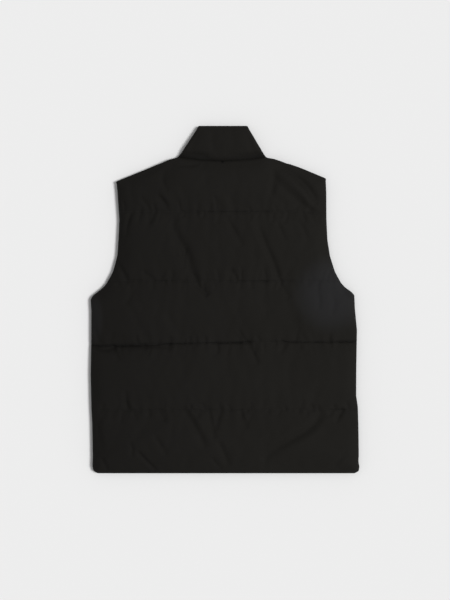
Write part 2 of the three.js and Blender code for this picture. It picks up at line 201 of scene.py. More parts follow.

# %% [markdown]
# ## The shell cloth
#
# A close plain weave of black polyester. From a step away it is a flat, slightly warm black. Nearer to, it
# has fine threads both ways and a faint crumple between them. Almost no light is mirrored by it, so the
# specular level is low: at the usual level the black would wash out to grey under this much white around
# it. The photograph also shows a faint cool glow below the right armhole, and a fainter one at the left
# side, where the cloth catches the light; both are painted highlights in the base colour. Painted shade
# darkens the cloth along the quilting, where it is sewn down, and towards the left, away from the light.

# %% Shell cloth
THREAD_PITCH = 0.55 * MM
# Painted shade and light: the cloth's black is darker at the left, away from the light at the right, and
# lighter at the right.
PAINTED_SHADE_LEFT = (0.0056, 0.0050, 0.0042, 1)
PAINTED_LIGHT_RIGHT = (0.0081, 0.0074, 0.0061, 1)
# Painted shade for the sewn valleys, the collar just above its neck seam and the spot round the neck bar.
PAINTED_SEAM_SHADE_COLOUR = (0.0022, 0.0020, 0.0017, 1)
# Painted highlight: a pale cool black for patches where the cloth catches the light.
PAINTED_HIGHLIGHT_COLOUR = (0.0166, 0.0166, 0.0180, 1)
PAINTED_LIGHT_DRIFT_START = -230 * MM
PAINTED_LIGHT_DRIFT_LENGTH = 330 * MM
PAINTED_HIGHLIGHTS = (
    {"centre": (222 * MM, 12 * MM), "reach": (88 * MM, 90 * MM), "share": 0.7},
    {"centre": (-276 * MM, -40 * MM), "reach": (26 * MM, 66 * MM), "share": 0.36},
)


def shell_cloth():
    """Painted shade and light: the base colour drifts from a darker black at the left, away from the light,
    to a lighter one at the right, stirred by slow noise that varies the tone at random. The weave is two
    crossed sine waves a thread pitch apart."""
    recipe = Recipe("shell_cloth", Specular_IOR_Level=0.13, Sheen_Weight=0.01, Sheen_Roughness=0.4)
    x, y, z = recipe.axes()
    mottle = recipe.noise(9.0, detail=4.0)
    streaks = recipe.noise(60.0, detail=3.0, stretch=(1, 0.12, 1))
    # Painted shade and light across the vest, darker towards the left, plus slow noise that varies the tone
    # at random.
    painted_light_and_tone = (x - PAINTED_LIGHT_DRIFT_START) / PAINTED_LIGHT_DRIFT_LENGTH + (mottle - 0.5) * 0.5 + (streaks - 0.5) * 0.3
    cloth = recipe.blend(painted_light_and_tone, PAINTED_SHADE_LEFT, PAINTED_LIGHT_RIGHT)
    # Painted shade: the sewn point value darkens the cloth in the quilting valleys, above the collar seam
    # and round the neck bar.
    sewn = recipe.add("ShaderNodeAttribute", {"attribute_name": "sewn"}, output="Fac")
    cloth = recipe.blend(sewn * 0.95, cloth, PAINTED_SEAM_SHADE_COLOUR)
    upper = recipe.add("ShaderNodeMapRange", {}, {"Value": z, "From Min": 11 * MM, "From Max": 13 * MM})
    # Painted highlights: pale cool patches, on the upper side only, where the cloth catches the light.
    for highlight in PAINTED_HIGHLIGHTS:
        across = (x - highlight["centre"][0]) / highlight["reach"][0]
        along = (y - highlight["centre"][1]) / highlight["reach"][1]
        far = across * across + along * along
        share = recipe.add("ShaderNodeMapRange", {"interpolation_type": "SMOOTHSTEP"},
                           {"Value": far, "From Min": 1.0, "From Max": 0.0, "To Max": highlight["share"]})
        cloth = recipe.blend(share * upper, cloth, PAINTED_HIGHLIGHT_COLOUR)
    turn = 2 * math.pi / THREAD_PITCH
    weave = (x * turn).sine() * (y * turn).sine()
    crumple = recipe.noise(85.0, detail=5.0)
    soft = recipe.bump(crumple, 0.9 * MM, strength=0.35)
    return recipe.finish(
        Base_Color=cloth,
        Roughness=0.74 + 0.16 * mottle,
        Normal=recipe.bump(weave, 0.05 * MM, strength=0.5, under=soft),
    )


cloth_material = shell_cloth()
print("shell cloth:", len(cloth_material.node_tree.nodes), "nodes")

# %% Floor
def floor():
    """A matt square, far larger than the vest."""
    reach = 60.0
    mesh = bpy.data.meshes.new("floor")
    corners = [(-reach, -reach, 0), (reach, -reach, 0), (reach, reach, 0), (-reach, reach, 0)]
    mesh.from_pydata([(x, y, -0.3 * MM) for x, y, z in corners], [], [(0, 1, 2, 3)])
    grey = (FLOOR_GREY, FLOOR_GREY, FLOOR_GREY, 1)
    paper = Recipe("floor_paper", Base_Color=grey, Roughness=1.0, Specular_IOR_Level=0.0)
    mesh.materials.append(paper.material)
    piece = bpy.data.objects.new("floor", mesh)
    bpy.context.scene.collection.objects.link(piece)


floor()

# %% [markdown]
# ## Reading a panel's outline from the frame
#
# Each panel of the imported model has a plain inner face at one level. A ray sent in from the side just off
# that level meets the panel's edge, and a row of such rays gives the whole outline without repeating any of
# its numbers here.

# %% Outline of a panel
RAY_START = 1.0
RAY_DEPTH = 1 * MM


def first_hits(node, starts, direction):
    """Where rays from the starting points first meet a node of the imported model."""
    tree = BVHTree.FromObject(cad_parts[node], bpy.context.evaluated_depsgraph_get())
    return np.array([tree.ray_cast(Vector(start), Vector(direction))[0] for start in starts])


def side_edge(node, side, heights, level):
    """The X of the node's edge at each height, seen from the left (side -1) or from the right (side 1)."""
    starts = [(side * RAY_START, y, level) for y in heights]
    return first_hits(node, starts, (-side, 0, 0))[:, 0]


def top_edge(node, places, level):
    """The Y of the node's upper edge at each X."""
    return first_hits(node, [(x, RAY_START, level) for x in places], (0, -1, 0))[:, 1]


# %% [markdown]
# ## Grids, rims and closed pads
#
# Every padded piece is a grid of points for its outer face, a plainer inner face, and a rim between them.
# On the real vest the rim is where shell and lining are turned in and sewn, so it is a small round, not a
# cut edge. The same few functions build all four pads: they only join up point numbers.

# %% Joining up a grid
def grid_numbers(rows, columns):
    return np.arange(rows * columns).reshape(rows, columns)


def quads_of(numbers):
    """Four-sided faces of a grid, counter-clockwise when rows run up and columns run right."""
    corners = [numbers[:-1, :-1], numbers[:-1, 1:], numbers[1:, 1:], numbers[1:, :-1]]
    return np.stack(corners, axis=-1).reshape(-1, 4)


def border_of(numbers):
    """The grid's border as one loop: along the first row, up the last column, back, and down the first
    column."""
    return np.concatenate([numbers[0], numbers[1:, -1], numbers[-1, -2::-1], numbers[-2:0:-1, 0]])


def ring_quads(upper, lower):
    """Faces between two loops of equal length."""
    return np.stack([lower, np.roll(lower, -1), np.roll(upper, -1), upper], axis=-1)


def plain_fill(loop, rows, columns):
    """Faces of a plain inner side: a strip for each row, and one many-sided face at either end."""
    numbers = np.zeros(rows * columns, dtype=int)
    numbers[border_of(grid_numbers(rows, columns))] = loop
    numbers = numbers.reshape(rows, columns)
    left, right = numbers[:, 0], numbers[:, -1]
    last_strip = rows - rows // 6
    strips = quads_of(np.stack([left, right], axis=1)[1:last_strip])
    bottom = [*numbers[0], right[1], left[1]]
    top = [left[last_strip - 1], *right[last_strip - 1:], *numbers[-1, -2:0:-1], *left[:last_strip - 1:-1]]
    return [face[::-1] for face in [*strips.tolist(), bottom, top]]


def new_piece(name, points, faces, material, smooth=True):
    mesh = bpy.data.meshes.new(name)
    mesh.from_pydata(np.asarray(points).tolist(), [], [list(map(int, face)) for face in faces])
    mesh.materials.append(material)
    mesh.polygons.foreach_set("use_smooth", [smooth] * len(mesh.polygons))
    mesh.update()
    piece = bpy.data.objects.new(name, mesh)
    bpy.context.scene.collection.objects.link(piece)
    return piece


def dress(piece, node=None, body="vest"):
    """Puts a finished piece on its body and hides the node, if one is given, whose place it takes."""
    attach(piece, body)
    if node:
        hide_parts(node)


def unit(vectors):
    return vectors / np.maximum(np.linalg.norm(vectors, axis=-1, keepdims=True), 1e-9)


# %% A closed pad
RIM_STEPS = 4
RIM_BULGE = 1.1 * MM


def outward_of_border(grid):
    """At each border point, the level direction away from the pad and square to its border."""
    rows, columns = grid.shape[:2]
    row, column = np.divmod(border_of(grid_numbers(rows, columns)), columns)
    border = grid[row, column, :2]
    along = unit(np.roll(border, -1, axis=0) - np.roll(border, 1, axis=0))
    inside = grid[np.clip(row, 2, rows - 3), np.clip(column, 2, columns - 3), :2]
    away = border - inside
    away = unit(away - along * (away * along).sum(axis=1, keepdims=True))
    return np.column_stack([away, np.zeros(len(away))])[:, :grid.shape[2]]


def closed_pad(name, outer, inner, material, whole_inner=False):
    """Joins an outer and an inner grid into one closed mesh. Between their borders run a few loops that
    bulge outward by half a sine wave. The inner side is the whole inner grid, or only its border with plain
    faces across."""
    rows, columns, _ = outer.shape
    numbers = grid_numbers(rows, columns)
    loop = border_of(numbers)
    upper, lower = outer.reshape(-1, 3)[loop], inner.reshape(-1, 3)[loop]
    outward = outward_of_border(outer)
    points, faces, count = [outer.reshape(-1, 3)], [quads_of(numbers)], rows * columns
    for step in range(1, RIM_STEPS):
        share = step / RIM_STEPS
        points.append(upper + (lower - upper) * share + outward * RIM_BULGE * math.sin(math.pi * share))
        ring = count + np.arange(len(loop))
        faces.append(ring_quads(loop, ring))
        loop, count = ring, count + len(ring)
    if whole_inner:
        inside = count + numbers
        points.append(inner.reshape(-1, 3))
        faces += [ring_quads(loop, border_of(inside)), quads_of(inside)[:, ::-1]]
    else:
        ring = count + np.arange(len(loop))
        points.append(lower)
        faces += [ring_quads(loop, ring), plain_fill(ring, rows, columns)]
    return new_piece(name, np.concatenate(points), [face for group in faces for face in group], material)


# %% [markdown]
# ## Where the padding is quilted
#
# The four quilting lines run straight across back and fronts alike, but the vest wasn't laid quite true, so
# each line has its own height at the left side, the middle and the right side. Rows of the grid lie exactly
# on the lines, as that is where the shell is sewn through and can't rise. It isn't drawn down evenly: where
# the thread pulls less, the line nearly vanishes, as the photograph shows at right of the middle.

# %% Rows on the quilting lines
QUILT_LINES = (
    {"left": -232, "middle": -231, "right": -230},
    {"left": -96, "middle": -89, "right": -86.5},
    {"left": 41, "middle": 39.5, "right": 40},
    {"left": 184.5, "middle": 184.5, "right": 184.5},
)
HALF_WIDTH = 280 * MM
SHOULDER_TIPS = {"left": 248.5 * MM, "right": 254.8 * MM}
GRID_STEP = 4.5 * MM
HAIR = 0.05 * MM
HEM_CORNER = 10.5 * MM
HEM_CORNER_REACH = 32 * MM


def fuller_corner(x, y):
    """The right side edge with its corner at the hem filled out, unless it is a front's edge at the zip.

    Added to x: the corner's size * (1 - height above the hem / reach)^2."""
    above = np.clip((y - y[0]) / HEM_CORNER_REACH, 0, 1)
    return x + HEM_CORNER * (1 - above) ** 2 * (x > HALF_WIDTH / 2)


def line_height(line, x):
    """The height of a quilting line at x: a parabola through its three stated heights."""
    across = x / HALF_WIDTH
    tilt = (line["right"] - line["left"]) / 2
    bow = (line["right"] + line["left"]) / 2 - line["middle"]
    return (line["middle"] + tilt * across + bow * across ** 2) * MM


def stops_at(node, x, tip):
    """Where rows of the grid must lie at x: the hem, the four quilting lines, the shoulder tip and the
    top."""
    low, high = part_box(node)
    return [low[1] + HAIR, *(line_height(line, x) for line in QUILT_LINES), tip, high[1] - HAIR]


def row_heights(stops, counts):
    parts = [np.linspace(low, high, count, endpoint=False)
             for low, high, count in zip(stops, stops[1:], counts)]
    return np.append(np.concatenate(parts), stops[-1])


def panel_plan(node, level, left_stops, right_stops, columns):
    """Points of a panel in plan, and the numbers of its quilting rows. Rows run from the left edge to the
    right."""
    counts = [max(3, round((high - low) / GRID_STEP)) for low, high in zip(left_stops, left_stops[1:])]
    marks = np.cumsum([0, *counts])
    left_y, right_y = row_heights(left_stops, counts), row_heights(right_stops, counts)
    left_x = side_edge(node, -1, left_y, level)
    right_x = fuller_corner(side_edge(node, 1, right_y, level), right_y)
    share = np.linspace(0, 1, columns)
    x = left_x[:, None] + (right_x - left_x)[:, None] * share
    y = left_y[:, None] + (right_y - left_y)[:, None] * share
    for line, mark in zip(QUILT_LINES, marks[1:5]):
        at_mark = np.arange(len(marks)) == list(marks).index(mark)
        near = np.interp(np.arange(len(y)), marks, at_mark)
        y = y + near[:, None] * (line_height(line, x[mark]) - y[mark])
    return np.stack([x, y], axis=-1), marks[1:5]


def lower_neck(plan, node, level, reach):
    """Pulls the rows near the top down on to the node's upper edge, which dips at the neck."""
    x, y = plan[..., 0], plan[..., 1]
    dip = y[-1] - top_edge(node, x[-1], level)
    near = np.clip(1 - (y[-1, 0] - y) / reach, 0, 1)
    return np.stack([x, y - near * np.interp(x, x[-1], dip)], axis=-1)


def make_room_for_rim(plan):
    """Draws the border in by the rim's bulge, so that the rim ends on the outline."""
    drawn = plan.reshape(-1, plan.shape[-1]).copy()
    drawn[border_of(grid_numbers(*plan.shape[:2]))] -= RIM_BULGE * outward_of_border(plan)
    return drawn.reshape(plan.shape)


# %% How high the padding stands
EDGE_LOFT = 3.6 * MM
QUILT_LOFT = 2.4 * MM
EDGE_ROLL = 30 * MM
SETTLED = 0.84
THINNEST = 0.8 * MM
SLACK_RISE = 0.93
PULL_PLACES = np.array([-280, -200, -120, -40, 30, 80, 130, 200, 280]) * MM
BACK_PULLS = (
    (0.15, 0.14, 0.12, 0.1, 0.12, 0.06, 0.0, 0.04, 0.25),
    (1.0, 1.0, 0.7, 0.3, 0.75, 0.0, 0.35, 0.36, 0.85),
    (0.2, 0.12, 0.18, 0.1, 0.15, 0.25, 0.2, 0.0, 0.05),
    (0.05, 0.1, 0.1, 0.18, 0.22, 0.22, 0.1, 0.02, 0.05),
)


def loft_rise(distance, reach):
    """A quarter of an ellipse: 0 at an edge, 1 from the given reach inwards."""
    short = 1 - np.clip(distance / reach, 0, 1)
    return np.sqrt(1 - short ** 2)


def eased(x, places, values):
    """Values between stated places, each stretch an S-curve 3 s^2 - 2 s^3 so that no kink shows."""
    places, values = np.asarray(places), np.asarray(values)
    at = np.clip(np.searchsorted(places, x) - 1, 0, len(places) - 2)
    share = np.clip((x - places[at]) / (places[at + 1] - places[at]), 0, 1)
    return values[at] + (values[at + 1] - values[at]) * share ** 2 * (3 - 2 * share)


def pull_at(x, pull):
    """How hard the thread pulls at x: the stated values, and where they are low, uneven from stitch to
    stitch."""
    steady = eased(x, PULL_PLACES, pull)
    uneven = np.sin(x / (5.3 * MM) + 40 * pull[1]) * np.sin(x / (13.7 * MM) + 9 * pull[2])
    return np.clip(steady + 0.9 * uneven * steady * (1 - steady), 0, 1)


def distance_to_border(plan):
    """Distance of each point in plan from the nearest stretch of the plan's border."""
    corners = plan.reshape(-1, 2)[border_of(grid_numbers(*plan.shape[:2]))]
    nearest = np.full(plan.shape[:2], np.inf)
    for corner, side in zip(corners, np.roll(corners, -1, axis=0) - corners):
        offset = plan - corner
        share = np.clip(offset @ side / max(side @ side, 1e-12), 0, 1)
        nearest = np.minimum(nearest, np.linalg.norm(offset - share[..., None] * side, axis=-1))
    return nearest


def quilted_loft(plan, sewn, full, roll, pulls):
    """Loft over the plain inner face: full in the middle of a channel, low at the border, lowest on the
    quilting."""
    x, y = plan[..., 0], plan[..., 1]
    edge = loft_rise(distance_to_border(plan), EDGE_ROLL)
    swell = EDGE_LOFT + (full - EDGE_LOFT) * edge - QUILT_LOFT
    share = np.ones(x.shape)
    for row, pull in zip(sewn, pulls):
        slack = SLACK_RISE * (1 - pull_at(x, pull))
        share = np.minimum(share, slack + (1 - slack) * loft_rise(np.abs(y - y[row]), roll))
    return QUILT_LOFT + swell * share


def lifted(plan, height):
    return np.concatenate([plan, np.broadcast_to(height, plan.shape[:2])[..., None]], axis=-1)


# %% [markdown]
# ## Swelling the pads
#
# A quilted channel is a bag of cloth with a little more cloth in it than its flat size, so it puckers where
# it is sewn down. Blender's cloth simulation does that: the sewn points are pinned, the cloth rests
# slightly larger than the grid, and air pressure lifts it. Much more spare cloth than this would cover the
# vest in even wrinkles, while the photograph shows broad calm channels with a few long creases.

# %% Cloth simulation
SIMULATED_FRAMES = 18
AIR_PRESSURE = 1.1
SPARE_CLOTH = 0.0035


def simulate(pad, free, pressure):
    """Runs the cloth simulation on a closed pad and gives its points back. Points that aren't free are
    pinned."""
    pinned = pad.vertex_groups.new(name="sewn")
    pinned.add([int(number) for number in np.flatnonzero(~free)], 1.0, "REPLACE")
    cloth = pad.modifiers.new("padding", "CLOTH")
    settings = cloth.settings
    settings.quality = 5
    settings.mass = 0.15
    settings.tension_stiffness = 25
    settings.compression_stiffness = 25
    settings.shear_stiffness = 8
    settings.bending_stiffness = 0.25
    settings.air_damping = 2.0
    settings.vertex_group_mass = "sewn"
    settings.use_pressure = True
    settings.uniform_pressure_force = pressure
    settings.shrink_min = -SPARE_CLOTH
    settings.effector_weights.gravity = 0
    cloth.collision_settings.use_collision = False
    cloth.point_cache.frame_end = SIMULATED_FRAMES
    for step in range(1, SIMULATED_FRAMES + 1):
        bpy.context.scene.frame_set(step)
    settled = pad.evaluated_get(bpy.context.evaluated_depsgraph_get()).to_mesh()
    points = np.empty(len(settled.vertices) * 3)
    settled.vertices.foreach_get("co", points)
    bpy.context.scene.frame_set(1)
    return points.reshape(-1, 3)


def swollen(outer, inner, sewn, whole_inner=False, pressure=AIR_PRESSURE):
    """The outer grid after the simulation. Its border and its sewn rows stay where they are."""
    rows, columns, _ = outer.shape
    pad = closed_pad("pad", outer, inner, cloth_material, whole_inner)
    free = np.zeros(len(pad.data.vertices), dtype=bool)
    on_grid = np.zeros((rows, columns), dtype=bool)
    on_grid[1:-1, 1:-1] = True
    on_grid[list(sewn)] = False
    free[:rows * columns] = on_grid.ravel()
    points = simulate(pad, free, pressure)[:rows * columns].reshape(outer.shape)
    bpy.data.objects.remove(pad)
    return outer + evened(points - outer) * on_grid[..., None]


def evened(field):
    """Each value averaged with its neighbours both ways, twice, which takes out wrinkles a single step
    wide."""
    for axis in (0, 1, 0, 1):
        last = field.shape[axis] - 1
        before = np.concatenate([field.take([0], axis), field.take(range(last), axis)], axis)
        after = np.concatenate([field.take(range(1, last + 1), axis), field.take([last], axis)], axis)
        field = (before + 2 * field + after) / 4
    return field


# %% [markdown]
# ## A finer grid
#
# The simulation runs on a grid of about 4.5 mm. Halving the steps afterwards with a cubic through four
# neighbours keeps the surface smooth. Between two quilting lines each channel is halved by itself, so the
# grooves stay sharp.

# %% Halving the steps
def halved(points):
    """A point between each two along the first axis: 9/16 of both neighbours less 1/16 of the next ones
    out."""
    before, after = 2 * points[:1] - points[1:2], 2 * points[-1:] - points[-2:-1]
    padded = np.concatenate([before, points, after])
    between = (9 * (padded[1:-2] + padded[2:-1]) - padded[:-3] - padded[3:]) / 16
    finer = np.empty((2 * len(points) - 1, *points.shape[1:]))
    finer[::2], finer[1::2] = points, between
    return finer


def finer_grid(grid, sewn=()):
    """Halves the steps both ways, channel by channel between the sewn rows."""
    ends = [0, *sewn, len(grid) - 1]
    channels = [halved(grid[low:high + 1]) for low, high in zip(ends, ends[1:])]
    rows = np.concatenate([channel[:-1] for channel in channels[:-1]] + [channels[-1]])
    return halved(rows.swapaxes(0, 1)).swapaxes(0, 1)


def grid_normals(grid):
    """The direction square to the surface at each point, outward for a grid laid out as closed_pad needs
    it."""
    return unit(np.cross(np.gradient(grid, axis=1), np.gradient(grid, axis=0)))


# %% [markdown]
# ## Creases placed one by one
#
# The long creases follow the photograph one by one. Each is a soft trough along a bowed line, deepest
# half-way, with a lower ridge on the side the cloth is pushed to. Beside the quilting come short puckers,
# seeded so that each run is the same: uneven in length, depth and spacing.

# %% Troughs and ridges
def smooth_path(corners, steps=18):
    """The corners joined up, cut into equal steps, and rounded by averaging each point with its
    neighbours."""
    corners = np.array(corners) * MM
    run = np.concatenate([[0], np.cumsum(np.linalg.norm(np.diff(corners, axis=0), axis=1))])
    places = np.linspace(0, run[-1], steps)
    path = np.column_stack([np.interp(places, run, corners[:, axis]) for axis in (0, 1)])
    for _ in range(4):
        path[1:-1] = (path[:-2] + 2 * path[1:-1] + path[2:]) / 4
    return path


def beside_path(spots, path):
    """How far along the path each spot lies, from 0 to 1, and how far to the left of it (negative to the
    right)."""
    nearest = np.full(len(spots), np.inf)
    travel, aside = np.zeros(len(spots)), np.zeros(len(spots))
    for number, (start, side) in enumerate(zip(path, np.diff(path, axis=0))):
        offset = spots - start
        share = np.clip(offset @ side / (side @ side), 0, 1)
        away = offset - share[:, None] * side
        distance = np.linalg.norm(away, axis=1)
        closer = distance < nearest
        nearest[closer] = distance[closer]
        travel[closer] = (number + share[closer]) / (len(path) - 1)
        aside[closer] = (distance * np.sign(away @ np.array([-side[1], side[0]])))[closer]
    return travel, aside


def trough_depth(plan, creases):
    """Summed over the creases: depth times a bell curve across the path, less the ridge beside it, deepest
    half-way.

    A crease is (depth, half width, ridge side, corners of its path), in millimetres."""
    total = np.zeros(plan.shape[:2])
    for depth, half, side, corners in creases:
        path, width = smooth_path(corners), half * MM
        low, high = path.min(axis=0) - 4 * width, path.max(axis=0) + 4 * width
        near = ((plan > low) & (plan < high)).all(axis=-1)
        travel, aside = beside_path(plan[near], path)
        trough = np.exp(-(aside / width) ** 2)
        ridge = 0.4 * abs(side) * np.exp(-((aside - 1.9 * side * width) / (1.1 * width)) ** 2)
        total[near] += depth * MM * np.sqrt(4 * travel * (1 - travel)) * (trough - ridge)
    return total


def puckers_beside(line, x_range, seed):
    """Short troughs that start on a quilting line and run up or down from it, leaning a little."""
    dice = np.random.default_rng(seed)
    made = []
    for side in (1, -1):
        x = x_range[0] + dice.uniform(4, 20)
        while x < x_range[1]:
            length = dice.uniform(10, 34)
            lean = dice.normal(0, 0.35) * length
            start = line_height(line, x * MM) / MM - side * 3
            middle = (x + lean / 2 + dice.uniform(-3, 3), start + side * length / 2)
            corners = ((x, start), middle, (x + lean, start + side * length))
            made.append((dice.uniform(0.3, 1.6), dice.uniform(3.2, 5.5), dice.choice([-1, 0, 1]), corners))
            x += dice.uniform(9, 34)
    return made


def panel_puckers(x_range, seed):
    return [pucker for number, line in enumerate(QUILT_LINES)
            for pucker in puckers_beside(line, x_range, seed + number)]


def wrinkles_between(low, high, x_range, count, seed):
    """Faint longer wrinkles scattered over a channel, mostly upright."""
    dice = np.random.default_rng(seed)
    made = []
    for _ in range(count):
        x, y = dice.uniform(*x_range), dice.uniform(low, high)
        turn, reach = dice.normal(math.pi / 2, 0.5), dice.uniform(14, 34)
        step = np.array([math.cos(turn), math.sin(turn)]) * reach
        middle = (x + dice.uniform(-5, 5), y)
        corners = ((x - step[0], y - step[1]), middle, (x + step[0], y + step[1]))
        made.append((dice.uniform(0.2, 0.8), dice.uniform(6, 11), dice.choice([-1, 1]), corners))
    return made


CREASE_HOLD = 12 * MM


def creased(grid, creases, hold=None):
    """Presses the creases into the grid along its normals. Hold is 0 where the cloth can't give: at the
    border."""
    plan = grid[..., :2]
    if hold is None:
        hold = loft_rise(distance_to_border(plan), CREASE_HOLD)
    return grid - grid_normals(grid) * (hold * trough_depth(plan, creases))[..., None]


# %% [markdown]
# ## The back
#
# The photograph shows only this panel and the collar, so the back carries the creases read from it. The
# strong dark line across the vest is the second quilting line from the hem: the channel above it slumps
# over the seam.

# %% Creases of the back
BACK_CREASES = [
    (4.6, 9.5, 0,
     ((-106, 176), (-113, 151), (-96, 126), (-81, 105), (-74, 84), (-73, 62), (-62, 38), (-35, 8))),
    (2.4, 4.5, 0, ((-82, 109), (-86, 88), (-85, 64))),
    (2.4, 5, 1, ((-142, 220), (-132, 210), (-119, 193))),
    (1.8, 5, 0, ((-127, 273), (-130, 247), (-119, 226))),
    (5.4, 8, -1, ((112, 284), (142, 264), (171, 239), (196, 201))),
    (2.2, 8, 1, ((100, 258), (125, 231), (146, 214), (167, 192))),
    (2.0, 6, 0, ((106, 273), (101, 247), (97, 218))),
    (2.6, 7, 0, ((158, 203), (175, 191), (194, 178))),
    (3.0, 6.5, 0, ((-1, 180), (11, 157), (26, 134), (36, 111))),
    (3.4, 7, 0, ((62, 163), (78, 140), (85, 111), (99, 88), (108, 58), (118, 29), (135, 2))),
    (1.8, 5, 0, ((108, 163), (118, 145), (127, 124))),
    (1.6, 6, 0, ((150, 170), (164, 149), (175, 121))),
    (2.4, 5, 0, ((-197, 182), (-205, 155), (-207, 130))),
    (3.2, 5.5, 0, ((-226, 79), (-216, 63), (-201, 35))),
    (2.0, 4.5, 0, ((-172, 63), (-161, 50), (-144, 40))),
    (1.8, 4, 0, ((-22, 218), (-18, 201), (-16, 180))),
    (1.8, 4, 0, ((-98, 210), (-94, 195), (-94, 178))),
    (2.0, 5, 0, ((234, 46), (246, 25), (261, 4))),
    (2.2, 5, 0, ((11, 67), (20, 52), (28, 37))),
    (2.2, 4.5, 0, ((-60, 35), (-48, 21), (-35, 10))),
    (1.6, 6, 0, ((-190, 29), (-197, 8), (-211, -13))),
    (2.4, 5, 0, ((-283, -38), (-274, -57), (-268, -78))),
    (3.0, 5.5, 0, ((47, -84), (57, -107), (70, -135))),
    (1.6, 4, 0, ((-16, -89), (-14, -101), (-16, -114))),
    (2.0, 5, 0, ((-237, -93), (-228, -110), (-222, -128))),
    (2.0, 5.5, 0, ((-207, -189), (-207, -210), (-205, -233))),
    (3.2, 7.5, 1, ((-90, -223), (-71, -252), (-54, -280), (-39, -309))),
    (2.4, 6, 0, ((-35, -221), (-29, -252), (-22, -290))),
    (2.2, 5.5, 0, ((-4, -223), (-12, -244), (-20, -273))),
    (2.8, 6.5, 0, ((-14, -294), (-4, -315), (9, -347))),
    (2.0, 5, 0, ((-29, -328), (-18, -343), (-6, -355))),
    (2.2, 6, 0, ((32, -231), (38, -250), (47, -269))),
    (4.2, 9, 1, ((204, -233), (188, -261), (158, -280), (127, -296), (101, -313), (78, -336))),
    (2.2, 5, 0, ((248, -227), (240, -242), (232, -259))),
    (3.6, 4, 0, ((-184, -315), (-167, -334), (-144, -357))),
    (1.8, 5, 0, ((-199, -294), (-193, -311), (-195, -328))),
    (2.6, 5, 0, ((-260, -328), (-251, -345), (-245, -359))),
    (2.0, 6.5, 0, ((-270, -244), (-264, -278), (-256, -320))),
    (2.2, 6, 0, ((-148, -282), (-136, -301), (-121, -324))),
    (1.8, 5, 0, ((-140, -227), (-134, -240), (-127, -254))),
    (1.6, 5, 0, ((227, -349), (240, -334), (257, -317))),
    (2.0, 5, 0, ((-119, 289), (-102, 283), (-73, 281), (-52, 285))),
    (1.6, 6, 0, ((192, 25), (198, 2), (196, -23))),
    (1.4, 6, 0, ((223, 16), (230, -7), (223, -34))),
]
SEAM_TROUGHS = [
    (3.4, 4.5, 0, ((-283, -89), (-266, -101), (-249, -105), (-228, -99))),
    (2.4, 4, 0, ((-245, -97), (-209, -96), (-157, -97), (-105, -99))),
    (1.8, 4, 0, ((-22, -87), (5, -87), (34, -86))),
    (0.9, 4, 0, ((116, -88), (158, -87), (211, -86), (276, -86))),
]
SLUMPS = (
    ((-280, 0), (-220, 1), (-120, 2), (-60, 1), (40, 2), (120, 0), (200, 1), (240, 2.5), (280, 0)),
    ((-280, 4), (-255, 7), (-150, 8), (-110, 5), (-30, 4), (-10, 6),
     (30, 6), (52, 2), (118, 2), (140, 6), (280, 7)),
    ((-280, 1), (-200, 2), (-120, 3), (-60, 0), (20, 3), (100, 3), (140, 0), (280, 0)),
    ((-280, 0), (-160, 0), (-90, 1), (-40, 2.5), (0, 3), (90, 2), (160, 1), (280, 1)),
)
SLUMP_REACH = 6 * MM
SLUMP_HOLD = 14 * MM


def slumped(grid, line, slump):
    """Lets the channel above a quilting line hang over it: a shift down of d / reach * exp(1 - d / reach),
    for a point d above the line. The table says how far it hangs at each x, in millimetres."""
    places, depths = np.array(slump).T * MM
    above = np.clip((grid[..., 1] - line_height(line, grid[..., 0])) / SLUMP_REACH, 0, None)
    hold = loft_rise(distance_to_border(grid[..., :2]), SLUMP_HOLD)
    moved = grid.copy()
    moved[..., 1] -= eased(grid[..., 0], places, depths) * hold * above * np.exp(1 - above)
    return moved


# Half width of the painted shade along each quilting line.
PAINTED_VALLEY_HALF = 2 * MM


def painted_valley_shade(grid, pulls):
    """How near each point is to a quilting line, from 0 to 1, times how hard that line is pulled there: the
    share of painted shade that darkens the sewn valley.
    """
    x, y = grid[..., 0], grid[..., 1]
    valleys = [np.exp(-((y - line_height(line, x)) / PAINTED_VALLEY_HALF) ** 2) * pull_at(x, pull)
               for line, pull in zip(QUILT_LINES, pulls)]
    return np.max(valleys, axis=0)


def store_painted_shade(pad, near):
    """Stores a value at each point of the outer face for the cloth's shader: painted shade, which darkens
    the cloth where the value is high.
    """
    values = np.zeros(len(pad.data.vertices))
    values[:near.size] = near.ravel()
    pad.data.attributes.new("sewn", "FLOAT", "POINT").data.foreach_set("value", values)


BAR_CENTRE = (-4.4 * MM, 289.4 * MM)
BAR_SHADE = 3.2 * MM
BACK_UNDERSIDE = 10.35 * MM
BACK_LOFT = 14 * MM
BACK_ROLL = 42 * MM
BACK_COLUMNS = 124
NECK_REACH = 25 * MM


def back_grid():
    level = BACK_UNDERSIDE + RAY_DEPTH
    left_stops = stops_at("back", -HALF_WIDTH, SHOULDER_TIPS["left"])
    right_stops = stops_at("back", HALF_WIDTH, SHOULDER_TIPS["right"])
    plan, sewn = panel_plan("back", level, left_stops, right_stops, BACK_COLUMNS)
    plan = make_room_for_rim(lower_neck(plan, "back", level, NECK_REACH))
    loft = SETTLED * quilted_loft(plan, sewn, BACK_LOFT, BACK_ROLL, BACK_PULLS)
    inner = lifted(plan, BACK_UNDERSIDE)
    outer = swollen(lifted(plan, BACK_UNDERSIDE + loft), inner, sewn)
    return finer_grid(outer, sewn), finer_grid(inner, sewn)


